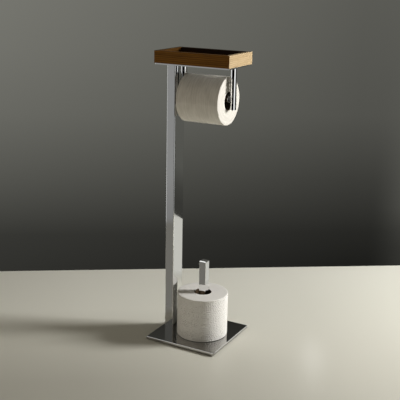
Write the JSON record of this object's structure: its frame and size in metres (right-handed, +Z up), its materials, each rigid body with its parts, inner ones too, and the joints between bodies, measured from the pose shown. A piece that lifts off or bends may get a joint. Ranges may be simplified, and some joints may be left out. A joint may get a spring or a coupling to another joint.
{
  "type": "toilet roll storage holder",
  "caption": "Free-standing chrome toilet roll stand: square base with a spindle for a spare roll, flat post, sprung roller hung between round arms, and a shallow wooden tray on top.",
  "frame": {"origin": "on the floor, under the middle of the base plate and of the tray", "axes": "+Z up along the post; +X along the tray's long side, from the post towards the far arm; +Y towards the back"},
  "size_m": [0.17, 0.166, 0.623],
  "materials": {
    "polished_chrome": "mirror polished",
    "plain_steel": "plain zinc",
    "tray_wood": "satin oiled",
    "foot_rubber": "matte",
    "white_nylon": "moulded",
    "spring_steel": "drawn wire",
    "tissue_paper": "embossed tissue",
    "core_card": "plain card"
  },
  "bodies": {
    "stand": {"base_plate": "polished_chrome", "rubber_feet": "foot_rubber", "post_tube": "polished_chrome", "post_lower_block": "plain_steel", "post_upper_block": "plain_steel", "post_base_screws": "plain_steel", "post_tray_screws": "plain_steel", "spindle_tube": "polished_chrome", "spindle_block": "plain_steel", "spindle_cap": "polished_chrome", "spindle_screw": "plain_steel", "tray_plate": "polished_chrome", "left_arm": "polished_chrome", "right_arm": "polished_chrome", "arm_screws": "plain_steel", "tray_wood_screws": "plain_steel", "tray_front_rail": "tray_wood", "tray_back_rail": "tray_wood", "tray_left_rail": "tray_wood", "tray_right_rail": "tray_wood", "tray_floor_panel": "tray_wood"},
    "roller_outer": {"roller_sleeve": "polished_chrome", "roller_left_cap": "polished_chrome", "roller_collar": "white_nylon", "roller_spring": "spring_steel"},
    "roller_inner": {"roller_plunger": "polished_chrome", "roller_guide_bush": "white_nylon", "roller_right_cap": "polished_chrome"},
    "used_roll": {"used_roll_paper": "tissue_paper", "used_roll_core": "core_card"},
    "spare_roll": {"spare_roll_paper": "tissue_paper", "spare_roll_core": "core_card"}
  },
  "joints": [
    {"name": "used_roll_spin", "type": "hinge", "parent": "stand", "child": "used_roll", "pos_m": [0.0125, 0, 0.52635], "axis": [1, 0, 0], "continuous": true},
    {"name": "roller_spin", "type": "hinge", "parent": "stand", "child": "roller_outer", "pos_m": [0.0125, 0, 0.5331], "axis": [1, 0, 0], "continuous": true},
    {"name": "plunger_press", "type": "slide", "parent": "roller_outer", "child": "roller_inner", "axis": [-1, 0, 0], "range_m": [0, 0.007], "stiffness_N_per_m": 500, "springref_m": -0.006, "deforming": ["roller_spring"]},
    {"name": "spare_roll_lift", "type": "slide", "parent": "stand", "child": "spare_roll", "axis": [0, 0, 1], "range_m": [0, 0.17]}
  ],
  "couplings": [
    {"joint": "roller_spin", "follows": "used_roll_spin", "ratio": 1.6364}
  ]
}
